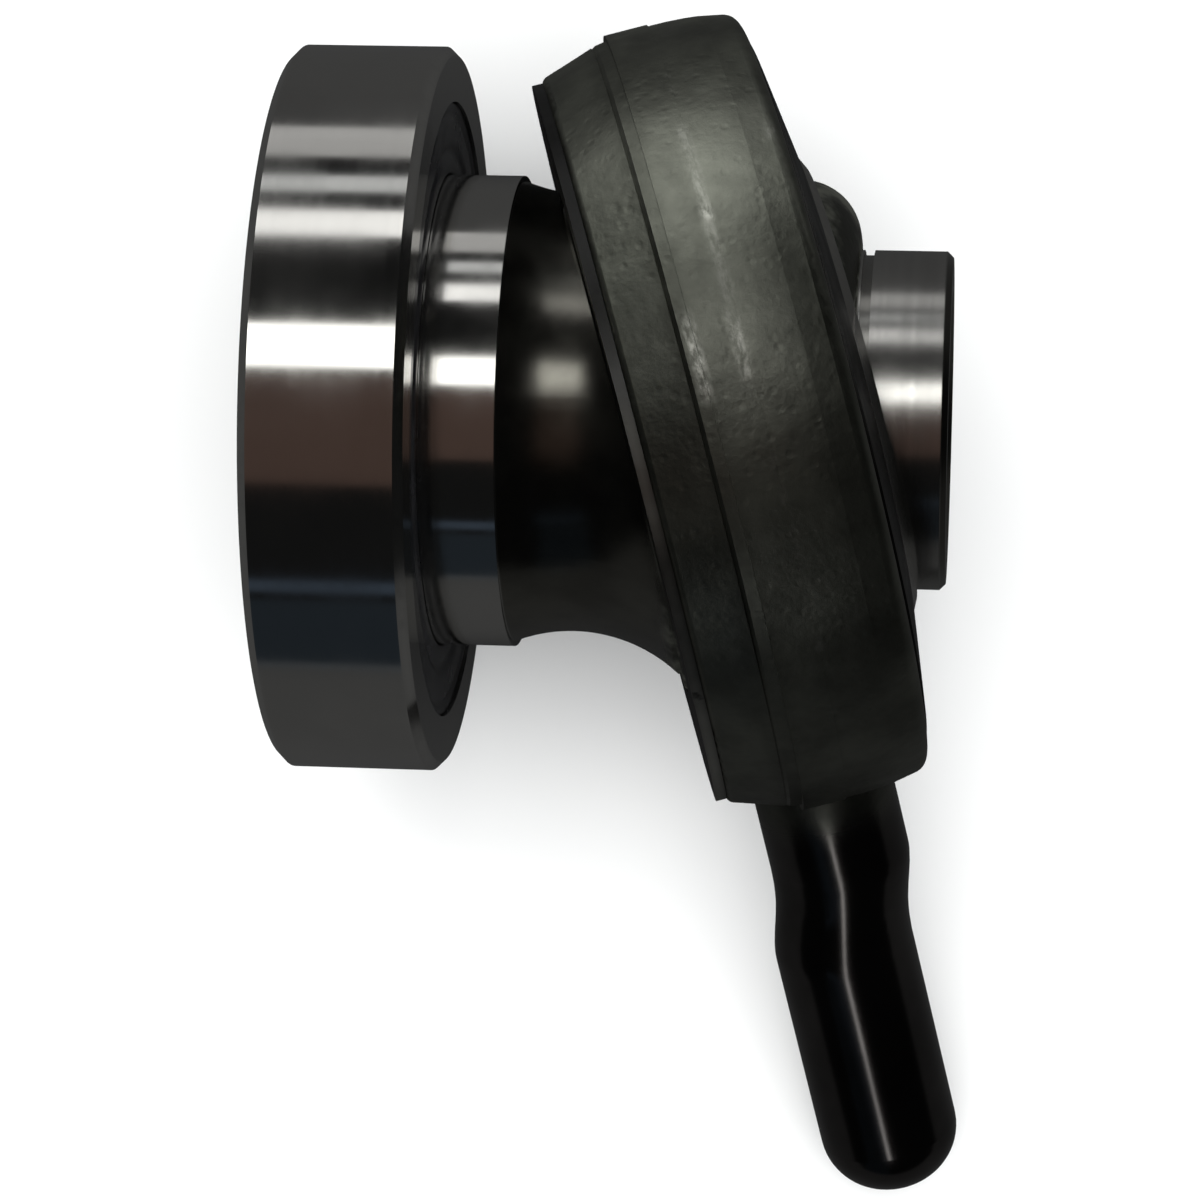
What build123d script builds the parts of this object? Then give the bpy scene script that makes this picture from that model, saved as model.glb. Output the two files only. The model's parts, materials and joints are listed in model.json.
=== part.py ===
"""Wobble bearing drive unit of a rotary hammer.

A hub turns in a sealed ball bearing.  A ball race ground on the hub at a slant
carries a forged ring with a drive finger, so that each turn of the hub swings
the finger once to and fro along the shaft.

Frame, in millimetres: +X runs along the shaft, from the support bearing to the
free journal.  The origin is the wobble centre, where the slanted race's axis
crosses the shaft.  +Z points up while the unit lies on its rims and finger.
"""
from build123d import *

import math
import os

# ---- slant and finger direction, degrees -------------------------------------
WOBBLE_ANGLE = 16.8       # between the slanted race's axis and the shaft
HUB_PHASE = 17.6          # how far the slant is turned below +Y about the shaft
FINGER_DROOP = 24.0       # how far the finger is turned below -Y about the shaft

# ---- hub ---------------------------------------------------------------------
HUB_LAND_R = 13.65        # ground neck, which is the support bearing's inner land
HUB_PROUD = 0.5           # hub end beyond the support bearing's left face
HUB_CHAMFER = 0.6
NECK_LENGTH = 4.1         # ground neck seen between the bearing and the waist
NECK_STEP = 0.3           # drop from the ground neck to the turned waist
WAIST_DROP = 0.95         # drop from the neck to the waist's smallest place
FLARE_PROUD = 0.2         # flare above the collar where the waist ends
WAIST_LENGTH = 9.6
WAIST_LOW_SHARE = 0.41    # where along the waist its smallest place is
BORE_R = 7.0
BORE_CHAMFER = 0.5
BOSS_DROP = 1.1           # boss radius below the slanted collar's
BOSS_X = 7.1
BOSS_FILLET = 3.4
JOURNAL_WALL = 2.75       # metal between the bore and the journal
JOURNAL_LENGTH = 4.15
JOURNAL_CHAMFER = 0.35
RELIEF_WIDTH = 0.85
RELIEF_DEPTH = 0.3
LIP_WIDTH = 0.25          # thin lip left beside the relief
CLUTCH_DEPTH = 6.0        # toothed socket in the left end
CLUTCH_LEDGE = 1.3        # tooth tips above the bore
CLUTCH_TOOTH = 1.4
CLUTCH_TEETH = 10

# ---- support bearing ---------------------------------------------------------
SUPPORT_X = -21.0         # middle of the bearing along the shaft
SUPPORT_BALL_R = 2.778    # 7/32 inch balls
SUPPORT_BALLS = 9
SUPPORT_LAND_GAP = 2.1    # from the pitch circle to the hub's land, and to the face's edge
SUPPORT_SHOULDER_GAP = 1.55
SUPPORT_WALL = 2.472      # outer ring behind its ball groove
SUPPORT_CHAMFER = 0.5
SEAL_THICKNESS = 0.75
SEAL_RECESS = 0.2         # how far the seal lies below the ring's face
SEAL_GAP = 0.262          # between the seal and the cage
INSERT_THICKNESS = 0.3
INSERT_EDGE = 0.7         # rubber left round the insert's two edges
RIBBON_THICKNESS = 0.45   # sheet of the pressed cage
RIBBON_WIDTH = 1.7
RIVET_R = 0.4
RIVET_HEAD_R = 0.65
RIVET_HEAD = 0.3

# ---- slanted bearing ---------------------------------------------------------
COLLAR_R = 14.8
COLLAR_PROUD = 1.75       # collar beyond the ring's right face
COLLAR_CONE = 0.9         # bevel on the collar's right edge, along the axis
COLLAR_CONE_DROP = 1.8    # and towards it
COLLAR_CHAMFER = 0.3
WOBBLE_BALL_R = 3.572     # 9/32 inch balls
WOBBLE_BALLS = 9
WOBBLE_LAND_GAP = 1.9     # from the collar to the pitch circle
RING_LAND_GAP = 1.8       # from the pitch circle to the ring's land
SNAP_CAGE_WALL = 1.9
SNAP_CAGE_BACK = 1.03     # cage behind the balls, on its solid side
SNAP_CAGE_FRONT = 1.7     # open side, from the middle of the balls

# ---- forged ring and shields -------------------------------------------------
RING_LEFT_WIDTH = 6.0     # from the wobble centre to the ring's two faces
RING_RIGHT_WIDTH = 5.7
RING_WALL = 2.678         # ring behind its ball groove, at the crown
CROWN_X = 1.0             # highest place of the crown
CROWN_LEFT_X = -2.6       # where the drafted sides meet the crown
CROWN_RIGHT_X = 3.6
CROWN_LEFT_DROP = 0.35
CROWN_RIGHT_DROP = 0.15
RING_LEFT_DROP = 1.45     # fall of the drafted sides at the ring's two edges
RING_RIGHT_DROP = 0.55
RING_LEFT_FILLET = 0.5
RING_RIGHT_FILLET = 0.9
BAND_LEFT_X = -1.9        # raised flash band on the crown
BAND_RIGHT_X = 0.6
BAND_HEIGHT = 0.1
GROOVE_WIDTH = 1.7        # groove that runs along the band's left side
GROOVE_DEPTH = 0.12
SHIELD_THICKNESS = 0.6
SHIELD_EDGE = 0.2         # left shield's rim inside the ring's left edge
DISH_THICKNESS = 0.5      # right shield, dished outwards towards the hub
DISH_RISE = 0.95
DISH_SEAT = 0.3           # depth of its seat in the ring's right face
DISH_REACH = 2.4          # from the ring's land out to the seat's rim

# ---- finger ------------------------------------------------------------------
FINGER_R = 4.25
FINGER_ROOT_LENGTH = 6.2  # crown to the start of the relief
FINGER_RELIEF_LENGTH = 6.2
FINGER_WORK_LENGTH = 16.8 # straight ground end
FINGER_RELIEF_DEPTH = 0.13
FINGER_RELIEF_SECTIONS = 6
FINGER_OFFSET = 1.0       # ground end stands this far left of the ring's middle
FINGER_PAD = 0.8         # swelling round the root, and its reach past the crown
FINGER_PAD_SHIFT = 0.8    # swelling's middle left of the ring's
FINGER_TIP_FLAT_R = 0.5

# ---- fits --------------------------------------------------------------------
RACE_CONFORMITY = 1.04    # groove radius over ball radius
BALL_CLEARANCE = 0.02
POCKET_CLEARANCE = 0.06
LIP_CLEARANCE = 0.05      # seal lips and shields round the hub
SHIELD_CLEARANCE = 0.1    # left shield to the hub's flare
WALL_LEFT = 0.5           # least step left beside a fillet
CUT_MARGIN = 1.0          # how far a cutting tool runs past the metal

# ---- sizes that follow from those --------------------------------------------
support_pitch_r = HUB_LAND_R + SUPPORT_LAND_GAP
support_face_r = support_pitch_r + SUPPORT_LAND_GAP
support_shoulder_r = support_pitch_r + SUPPORT_SHOULDER_GAP
support_outer_r = support_pitch_r + SUPPORT_BALL_R + SUPPORT_WALL
pocket_r = SUPPORT_BALL_R + POCKET_CLEARANCE
pocket_shell_r = pocket_r + RIBBON_THICKNESS
seal_seat = SEAL_THICKNESS + SEAL_RECESS
support_half_width = pocket_shell_r + SEAL_GAP + seal_seat
support_left = SUPPORT_X - support_half_width
support_right = SUPPORT_X + support_half_width

hub_left = support_left - HUB_PROUD
neck_end = support_right + NECK_LENGTH
boss_r = COLLAR_R - BOSS_DROP
journal_r = BORE_R + JOURNAL_WALL
journal_start = BOSS_X + RELIEF_WIDTH
hub_right = journal_start + JOURNAL_LENGTH + JOURNAL_CHAMFER
clutch_tip_r = BORE_R + CLUTCH_LEDGE
clutch_root_r = clutch_tip_r + CLUTCH_TOOTH

wobble_pitch_r = COLLAR_R + WOBBLE_LAND_GAP
ring_land_r = wobble_pitch_r + RING_LAND_GAP
ring_crown_r = wobble_pitch_r + WOBBLE_BALL_R + RING_WALL
ring_left_r = ring_crown_r - RING_LEFT_DROP
collar_left = -RING_LEFT_WIDTH - SHIELD_THICKNESS - SHIELD_CLEARANCE
collar_right = RING_RIGHT_WIDTH + COLLAR_PROUD
dish_outer_r = ring_land_r + DISH_REACH
relief_start = ring_crown_r + FINGER_ROOT_LENGTH
relief_end = relief_start + FINGER_RELIEF_LENGTH
finger_end = relief_end + FINGER_WORK_LENGTH

tilt = Rot(-HUB_PHASE, 0, 0) * Rot(0, 0, WOBBLE_ANGLE)
os.makedirs("parts", exist_ok=True)


def turned(*outline):
    """Solid of revolution about X from (x, radius) corners, in order."""
    return revolve(make_face(Polyline(*outline, close=True)), axis=Axis.X)


def washer(x_low, x_high, r_low, r_high):
    """Plain ring about X."""
    return turned((x_low, r_low), (x_high, r_low), (x_high, r_high), (x_low, r_high))


def race_groove(x_mid, pitch_r, ball_r, side):
    """Torus that cuts a ball groove; side is +1 for an outer race, -1 for an inner one."""
    groove_r = ball_r * RACE_CONFORMITY
    centre_r = pitch_r + side * (ball_r + BALL_CLEARANCE - groove_r)
    return Pos(x_mid, 0, 0) * Rot(0, 90, 0) * Torus(centre_r, groove_r)


def around(x_mid, pitch_r, count, offset=0.0):
    """Places spaced evenly on a circle about X."""
    step = 360 / count
    return [Rot((i + offset) * step, 0, 0) * Pos(x_mid, 0, pitch_r) for i in range(count)]


def write(shape, node):
    """Write one node's STEP file."""
    export_step(shape, f"parts/{node}.step")


# ---- support bearing ---------------------------------------------------------
def support_outer_ring():
    """Ring with chamfered rims, a ball groove and a seat for each seal."""
    c = SUPPORT_CHAMFER
    ring = turned(
        (support_left, support_face_r),
        (support_left, support_outer_r - c),
        (support_left + c, support_outer_r),
        (support_right - c, support_outer_r),
        (support_right, support_outer_r - c),
        (support_right, support_face_r),
        (support_right - seal_seat, support_face_r),
        (support_right - seal_seat, support_shoulder_r),
        (support_left + seal_seat, support_shoulder_r),
        (support_left + seal_seat, support_face_r),
    )
    return ring - race_groove(SUPPORT_X, support_pitch_r, SUPPORT_BALL_R, 1)


def support_seal(face_x, inward):
    """Rubber seal and its steel insert; inward is the direction into the bearing."""
    outside = face_x + inward * SEAL_RECESS
    inside = outside + inward * SEAL_THICKNESS
    insert_x = inside - inward * INSERT_THICKNESS
    lip_r = HUB_LAND_R + LIP_CLEARANCE
    insert = washer(
        min(insert_x, inside),
        max(insert_x, inside),
        lip_r + INSERT_EDGE,
        support_shoulder_r - INSERT_EDGE,
    )
    rubber = washer(min(outside, inside), max(outside, inside), lip_r, support_face_r)
    return rubber - insert, insert


def ribbon_half(side):
    """One pressed cage half: a flat ribbon with a round pocket over each ball."""
    low_r = support_pitch_r - RIBBON_WIDTH / 2
    high_r = support_pitch_r + RIBBON_WIDTH / 2
    flat_end = SUPPORT_X + side * RIBBON_THICKNESS
    reach_end = SUPPORT_X + side * (pocket_shell_r + CUT_MARGIN)
    half = washer(min(SUPPORT_X, flat_end), max(SUPPORT_X, flat_end), low_r, high_r)
    reach = washer(min(SUPPORT_X, reach_end), max(SUPPORT_X, reach_end), low_r, high_r)
    for place in around(SUPPORT_X, support_pitch_r, SUPPORT_BALLS):
        half = half + (reach & (place * Sphere(pocket_shell_r)))
    for place in around(SUPPORT_X, support_pitch_r, SUPPORT_BALLS):
        half = half - place * Sphere(pocket_r)
    for place in around(SUPPORT_X, support_pitch_r, SUPPORT_BALLS, 0.5):
        half = half - place * Rot(0, 90, 0) * Cylinder(RIVET_R, 4 * RIBBON_THICKNESS)
    return half


def ribbon_rivets():
    """Rivets halfway between the balls, headed on both sides."""
    shank = Cylinder(RIVET_R, 2 * RIBBON_THICKNESS)
    head = Cylinder(RIVET_HEAD_R, RIVET_HEAD)
    away = RIBBON_THICKNESS + RIVET_HEAD / 2
    rivet = shank + Pos(0, 0, away) * head + Pos(0, 0, -away) * head
    places = around(SUPPORT_X, support_pitch_r, SUPPORT_BALLS, 0.5)
    return Compound([place * Rot(0, 90, 0) * rivet for place in places])


# ---- hub ---------------------------------------------------------------------
def hub_body():
    """Turned outline: inner land, neck, hollow waist, flare, boss and journal."""
    c = HUB_CHAMFER
    waist_start = (neck_end, HUB_LAND_R - NECK_STEP)
    waist_low = (neck_end + WAIST_LOW_SHARE * WAIST_LENGTH, HUB_LAND_R - WAIST_DROP)
    waist_high = (neck_end + WAIST_LENGTH, COLLAR_R + FLARE_PROUD)
    fillet_r = min(BOSS_FILLET, boss_r - journal_r - WALL_LEFT)
    boss_edge = (BOSS_X - fillet_r, boss_r)
    boss_face = (BOSS_X, boss_r - fillet_r)
    relief_r = journal_r - RELIEF_DEPTH
    outline = [
        Polyline(
            (hub_left, 0),
            (hub_left, HUB_LAND_R - c),
            (hub_left + c, HUB_LAND_R),
            (neck_end, HUB_LAND_R),
            waist_start,
        ),
        ThreePointArc(waist_start, waist_low, waist_high),
        Line(waist_high, boss_edge),
        RadiusArc(boss_edge, boss_face, fillet_r),
        Polyline(
            boss_face,
            (BOSS_X, journal_r),
            (BOSS_X + LIP_WIDTH, journal_r),
            (BOSS_X + LIP_WIDTH, relief_r),
            (journal_start, relief_r),
            (journal_start, journal_r),
            (hub_right - JOURNAL_CHAMFER, journal_r),
            (hub_right, journal_r - JOURNAL_CHAMFER),
            (hub_right, 0),
            (hub_left, 0),
        ),
    ]
    return revolve(make_face(outline), axis=Axis.X)


def hub_bore():
    """Tool for the through bore, with a chamfer at the journal's end."""
    mouth_r = BORE_R + BORE_CHAMFER
    return turned(
        (hub_left - CUT_MARGIN, 0),
        (hub_left - CUT_MARGIN, BORE_R),
        (hub_right - BORE_CHAMFER, BORE_R),
        (hub_right, mouth_r),
        (hub_right + CUT_MARGIN, mouth_r),
        (hub_right + CUT_MARGIN, 0),
    )


def clutch_socket():
    """Toothed hollow in the hub's left end, with straight-sided teeth."""
    reach = CLUTCH_DEPTH + CUT_MARGIN
    middle = hub_left - CUT_MARGIN + reach / 2
    socket = Pos(middle, 0, 0) * Rot(0, 90, 0) * Cylinder(clutch_tip_r, reach)
    gap = math.pi * clutch_tip_r / CLUTCH_TEETH
    slot = Pos(middle, 0, clutch_root_r - CLUTCH_TOOTH) * Box(reach, gap, 2 * CLUTCH_TOOTH)
    for i in range(CLUTCH_TEETH):
        socket = socket + Rot(360 * i / CLUTCH_TEETH, 0, 0) * slot
    return socket


def hub():
    """Hub cut away round the slanted race, with the race's collar added and grooved."""
    clear = washer(collar_left, collar_right, COLLAR_R - CUT_MARGIN, ring_crown_r + CUT_MARGIN)
    collar = turned(
        (collar_left, 0),
        (collar_left, COLLAR_R - COLLAR_CHAMFER),
        (collar_left + COLLAR_CHAMFER, COLLAR_R),
        (collar_right - COLLAR_CONE, COLLAR_R),
        (collar_right, COLLAR_R - COLLAR_CONE_DROP),
        (collar_right, 0),
    )
    body = hub_body() - tilt * clear + tilt * collar
    body = body - tilt * race_groove(0, wobble_pitch_r, WOBBLE_BALL_R, -1)
    body = body - hub_bore() - clutch_socket()
    return body - race_groove(SUPPORT_X, support_pitch_r, SUPPORT_BALL_R, -1)


# ---- forged ring, finger, shields and cage -----------------------------------
def ring_rim():
    """Forged ring with drafted sides, rounded edges and a raised flash band."""
    left = (CROWN_LEFT_X, ring_crown_r - CROWN_LEFT_DROP)
    right = (CROWN_RIGHT_X, ring_crown_r - CROWN_RIGHT_DROP)
    outline = [
        Polyline(
            left,
            (-RING_LEFT_WIDTH, ring_left_r),
            (-RING_LEFT_WIDTH, ring_land_r),
            (RING_RIGHT_WIDTH, ring_land_r),
            (RING_RIGHT_WIDTH, ring_crown_r - RING_RIGHT_DROP),
            right,
        ),
        ThreePointArc(right, (CROWN_X, ring_crown_r), left),
    ]
    ring = revolve(make_face(outline), axis=Axis.X)
    for x, radius in ((-RING_LEFT_WIDTH, RING_LEFT_FILLET), (RING_RIGHT_WIDTH, RING_RIGHT_FILLET)):
        circles = ring.edges().filter_by(GeomType.CIRCLE)
        edge = [e for e in circles if abs(e.center().X - x) < 0.01 and e.radius > ring_land_r + 1]
        ring = fillet(edge, radius)
    band = washer(BAND_LEFT_X, BAND_RIGHT_X, ring_land_r + CUT_MARGIN, ring_crown_r + BAND_HEIGHT)
    groove = turned(
        (BAND_LEFT_X - GROOVE_WIDTH, ring_crown_r + BAND_HEIGHT),
        (BAND_LEFT_X - GROOVE_WIDTH / 2, ring_crown_r - CROWN_LEFT_DROP - GROOVE_DEPTH),
        (BAND_LEFT_X, ring_crown_r + BAND_HEIGHT),
    )
    return ring + band - groove


def finger():
    """Round finger along X: forged root, shallow relief, offset ground end, domed tip."""
    root = wobble_pitch_r + WOBBLE_BALL_R + BALL_CLEARANCE + WALL_LEFT
    sections = []
    for i in range(FINGER_RELIEF_SECTIONS + 1):
        share = i / FINGER_RELIEF_SECTIONS
        shift = FINGER_OFFSET * share * share * (3 - 2 * share)
        radius = FINGER_R - FINGER_RELIEF_DEPTH * math.sin(math.pi * share) ** 2
        sections.append((relief_start + share * FINGER_RELIEF_LENGTH, -shift, radius))
    neck = loft([Plane.YZ.offset(x) * Pos(y, 0, 0) * Circle(r) for x, y, r in sections])
    dome = FINGER_R - FINGER_TIP_FLAT_R
    dome_start = finger_end - dome
    outline = [
        Polyline((relief_end, 0), (relief_end, FINGER_R), (dome_start, FINGER_R)),
        RadiusArc((dome_start, FINGER_R), (finger_end, FINGER_TIP_FLAT_R), dome),
        Polyline((finger_end, FINGER_TIP_FLAT_R), (finger_end, 0), (relief_end, 0)),
    ]
    straight = Pos(0, -FINGER_OFFSET, 0) * revolve(make_face(outline), axis=Axis.X)
    base = turned((root, 0), (root, FINGER_R), (relief_start, FINGER_R), (relief_start, 0))
    return base + neck + straight + root_pad(root)


def root_pad(root):
    """Swelling round the finger's root, a cone that runs out into the finger."""
    wide = FINGER_R + FINGER_PAD
    top = ring_crown_r + FINGER_PAD
    cone = turned(
        (root, 0),
        (root, wide),
        (ring_crown_r - CROWN_LEFT_DROP, wide),
        (top, FINGER_R - FINGER_PAD_SHIFT),
        (top, 0),
    )
    return Pos(0, -FINGER_PAD_SHIFT, 0) * cone


def wobble_ring():
    """Ring and finger as one forging, with the ball groove and the right shield's seat."""
    place = Rot(FINGER_DROOP + HUB_PHASE, 0, 0) * Rot(0, 0, -90)
    seat = washer(
        RING_RIGHT_WIDTH - DISH_SEAT,
        RING_RIGHT_WIDTH + CUT_MARGIN,
        ring_land_r - CUT_MARGIN,
        dish_outer_r,
    )
    ring = ring_rim() + place * finger()
    return ring - seat - race_groove(0, wobble_pitch_r, WOBBLE_BALL_R, 1)


def left_shield():
    """Thin plate that covers the ring's left face down to the hub's collar."""
    return washer(
        -RING_LEFT_WIDTH - SHIELD_THICKNESS,
        -RING_LEFT_WIDTH,
        COLLAR_R + LIP_CLEARANCE,
        ring_left_r - SHIELD_EDGE,
    )


def right_shield():
    """Dished plate from its seat in the ring's right face out to the hub's collar."""
    seat_x = RING_RIGHT_WIDTH - DISH_SEAT
    inner_r = COLLAR_R + LIP_CLEARANCE
    return turned(
        (seat_x, dish_outer_r),
        (seat_x + DISH_THICKNESS, dish_outer_r),
        (seat_x + DISH_THICKNESS + DISH_RISE, inner_r),
        (seat_x + DISH_RISE, inner_r),
        (seat_x, ring_land_r),
    )


def snap_cage():
    """Moulded cage, solid on the left, its pockets open to the right."""
    low_r = wobble_pitch_r - SNAP_CAGE_WALL / 2
    high_r = wobble_pitch_r + SNAP_CAGE_WALL / 2
    cage = washer(-WOBBLE_BALL_R - SNAP_CAGE_BACK, SNAP_CAGE_FRONT, low_r, high_r)
    for place in around(0, wobble_pitch_r, WOBBLE_BALLS):
        cage = cage - place * Sphere(WOBBLE_BALL_R + POCKET_CLEARANCE)
    return cage


# ---- write every piece -------------------------------------------------------
write(support_outer_ring(), "support_outer_ring")
for side_name, face_x, inward in (("left", support_left, 1), ("right", support_right, -1)):
    rubber_seal, steel_insert = support_seal(face_x, inward)
    write(rubber_seal, f"support_seal_{side_name}")
    write(steel_insert, f"seal_insert_{side_name}")
for number, place in enumerate(around(SUPPORT_X, support_pitch_r, SUPPORT_BALLS), 1):
    write(place * Sphere(SUPPORT_BALL_R), f"support_ball_{number}")
write(ribbon_half(-1), "support_cage_left")
write(ribbon_half(1), "support_cage_right")
write(ribbon_rivets(), "support_cage_rivets")
write(hub(), "hub")
for number, place in enumerate(around(0, wobble_pitch_r, WOBBLE_BALLS), 1):
    write(tilt * place * Sphere(WOBBLE_BALL_R), f"wobble_ball_{number}")
write(tilt * snap_cage(), "wobble_cage")
write(tilt * wobble_ring(), "wobble_ring")
write(tilt * left_shield(), "left_shield")
write(tilt * right_shield(), "right_shield")
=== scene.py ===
"""Looks for the wobble drive: finishes for its steel, rubber and plastic, moulded seals, and a stage."""

import json
import math

import bpy
import numpy as np
from bpy.props import FloatProperty, FloatVectorProperty, PointerProperty
from mathutils import Matrix, Vector


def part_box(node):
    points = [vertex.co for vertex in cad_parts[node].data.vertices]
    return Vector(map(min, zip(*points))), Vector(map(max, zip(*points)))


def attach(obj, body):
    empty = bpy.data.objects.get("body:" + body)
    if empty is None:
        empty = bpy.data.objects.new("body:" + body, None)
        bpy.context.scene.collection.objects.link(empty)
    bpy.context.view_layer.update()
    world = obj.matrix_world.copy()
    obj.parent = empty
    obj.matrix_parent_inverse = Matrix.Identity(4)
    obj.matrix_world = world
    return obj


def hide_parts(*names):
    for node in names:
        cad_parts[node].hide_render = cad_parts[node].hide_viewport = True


bl_info = {
    "name": "Wobble drive looks",
    "version": (1, 0, 0),
    "blender": (4, 5, 0),
    "location": "3D View > Sidebar > Wobble drive",
    "description": "Gives a rotary hammer's wobble drive its finishes, seals and stage",
    "category": "Object",
}

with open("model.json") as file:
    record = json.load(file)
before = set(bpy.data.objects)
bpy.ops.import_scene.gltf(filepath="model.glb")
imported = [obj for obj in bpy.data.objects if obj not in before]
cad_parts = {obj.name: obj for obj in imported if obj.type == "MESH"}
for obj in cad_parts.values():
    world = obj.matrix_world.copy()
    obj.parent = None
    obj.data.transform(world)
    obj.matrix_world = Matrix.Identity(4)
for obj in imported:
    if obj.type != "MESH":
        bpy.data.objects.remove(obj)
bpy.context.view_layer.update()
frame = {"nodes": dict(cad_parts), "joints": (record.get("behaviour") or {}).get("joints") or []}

MM = 0.001
MICRON = 0.001 * MM
SUPPORT_BALLS = [f"support_ball_{i}" for i in range(1, 10)]
WOBBLE_BALLS = [f"wobble_ball_{i}" for i in range(1, 10)]
SIDES = ("left", "right")


def corners(node):
    """A CAD node's vertices as an array of points."""
    mesh = frame["nodes"][node].data
    points = np.empty(len(mesh.vertices) * 3, np.float32)
    mesh.vertices.foreach_get("co", points)
    return points.reshape(-1, 3).astype(float)


def radii(node):
    """Least and greatest distance of a node's vertices from the shaft's axis."""
    points = corners(node)
    away = np.hypot(points[:, 1], points[:, 2])
    return float(away.min()), float(away.max())


def ring_turn():
    """How far the slanted race leans from the shaft, and how far that lean is turned about the shaft."""
    axis = next(j["axis"] for j in frame["joints"] if j["name"] == "ring_wobble")
    return math.acos(axis[0]), math.atan2(-axis[2], axis[1])


LEAN, PHASE = ring_turn()
TO_RING = Matrix.Rotation(-LEAN, 3, "Z") @ Matrix.Rotation(PHASE, 3, "X")


def finger_direction():
    """Unit vector from the ring's middle to the finger's tip, in the ring's own axes."""
    points = corners("wobble_ring") @ np.array(TO_RING).T
    across = points.copy()
    across[:, 0] = 0.0
    tip = across[np.argmax(np.hypot(across[:, 1], across[:, 2]))]
    far = np.hypot(points[:, 1], points[:, 2]) > 0.95 * np.linalg.norm(tip)
    middle = across[far].mean(axis=0)
    return tuple(middle / np.linalg.norm(middle))


FINGER = finger_direction()


# ---- settings ----------------------------------------------------------------
def length(label, text, default):
    """A length in metres that the user may change."""
    return FloatProperty(name=label, description=text, default=default, unit="LENGTH", precision=5)


def share(label, text, default):
    """A number from 0 to 1 that the user may change."""
    return FloatProperty(name=label, description=text, default=default, min=0, max=1, subtype="FACTOR")


def colour(label, text, default):
    """A colour that the user may change."""
    return FloatVectorProperty(
        name=label, description=text, default=default, size=3, min=0, max=1, subtype="COLOR"
    )


class SteelFinish(bpy.types.PropertyGroup):
    """Finishes of the bearing, hub and balls."""

    ground: colour("Ground steel", "Colour of ground bearing steel", (0.66, 0.65, 0.62))
    ground_gloss: share("Ground roughness", "Roughness of the ground faces", 0.1)
    turned: colour("Turned steel", "Colour of the hub's dark turned waist", (0.2, 0.195, 0.17))
    turned_gloss: share("Turned roughness", "Roughness of the hub's waist", 0.2)
    journal_gloss: share("Journal roughness", "Roughness of the free journal", 0.2)
    mark_pitch: length("Mark pitch", "Spacing of the grinding and turning marks", 0.00012)


class ForgedFinish(bpy.types.PropertyGroup):
    """Finishes of the forged ring, the finger and the shields."""

    oxide: colour("Black oxide", "Colour of the forging", (0.2, 0.206, 0.176))
    oxide_gloss: share("Oxide roughness", "Roughness of the forging", 0.42)
    # also the colour of the painted highlight on the left shield's lower rim
    worn: colour("Worn steel", "Colour where the oxide is rubbed off", (0.5, 0.5, 0.46))
    finger: colour("Finger", "Colour of the ground and blackened finger", (0.1, 0.094, 0.09))
    finger_gloss: share("Finger roughness", "Roughness of the finger", 0.17)
    scale: length("Scale size", "Size of the forging's scale and pits", 0.0007)


class SealShape(bpy.types.PropertyGroup):
    """Shape and finish of the moulded seals."""

    groove: length("Groove depth", "Depth of the ring groove in the seal's face", 0.00016)
    bead: length("Bead width", "Width of the bead at the seal's rim", 0.0005)
    rubber: colour("Rubber", "Colour of the seal", (0.012, 0.012, 0.013))
    gloss: share("Rubber roughness", "Roughness of the seal", 0.2)


class StageSettings(bpy.types.PropertyGroup):
    """Floor, lights and camera."""

    floor: colour("Floor", "Colour of the floor", (0.9, 0.9, 0.89))
    key: FloatProperty(name="Key", description="Brightness of the strip lights", default=1.15, min=0)
    soft: FloatProperty(name="Soft light", description="Power of the soft light", default=12.0, min=0)
    focal: FloatProperty(name="Focal length", description="Lens, in mm", default=131.1, min=20)


# ---- node helpers ------------------------------------------------------------
def feed(tree, inputs, values):
    """Fills sockets by key, each with a value or with another node's output as a link."""
    for key, value in values.items():
        if isinstance(value, bpy.types.NodeSocket):
            tree.links.new(value, inputs[key])
        else:
            inputs[key].default_value = value


def put(tree, kind, sockets=None, **settings):
    """Adds one node. Sockets take a value, or another node's output as a link."""
    node = tree.nodes.new(kind)
    for name, value in settings.items():
        setattr(node, name, value)
    feed(tree, node.inputs, sockets or {})
    return node


def calc(tree, operation, a, b=0.0, c=0.0):
    """One sum of numbers."""
    node = put(tree, "ShaderNodeMath", {0: a, 1: b, 2: c}, operation=operation)
    return node.outputs[0]


def times(tree, a, b):
    """Two numbers multiplied."""
    return calc(tree, "MULTIPLY", a, b)


def flip(tree, value):
    """1 where the value is 0, and 0 where it is 1."""
    return calc(tree, "SUBTRACT", 1.0, value)


def in_steps_of(tree, vector, size):
    """A place counted in steps of a size."""
    sockets = {0: vector, "Scale": calc(tree, "DIVIDE", 1.0, size)}
    return put(tree, "ShaderNodeVectorMath", sockets, operation="SCALE").outputs[0]


def mix_colour(tree, mask, a, b):
    """Colour a where the mask is 0 and b where it is 1."""
    a, b = (v if isinstance(v, bpy.types.NodeSocket) else (*v, 1) for v in (a, b))
    node = put(tree, "ShaderNodeMix", {0: mask, 6: a, 7: b}, data_type="RGBA")
    return node.outputs[2]


def mix_value(tree, mask, a, b):
    """Number a where the mask is 0 and b where it is 1."""
    return put(tree, "ShaderNodeMix", {0: mask, 2: a, 3: b}).outputs[0]


def ramp(tree, value, start, end):
    """0 before start, 1 after end, and a smooth rise between them."""
    sockets = {"Value": value, "From Min": start, "From Max": end}
    node = put(tree, "ShaderNodeMapRange", sockets, interpolation_type="SMOOTHSTEP")
    return node.outputs[0]


def grain(tree, vector, size, detail=3.0, rough=0.55):
    """Noise from 0 to 1 whose features are about size across."""
    sockets = {"Vector": vector, "Scale": 1 / size, "Detail": detail, "Roughness": rough}
    return put(tree, "ShaderNodeTexNoise", sockets).outputs["Fac"]


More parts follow.
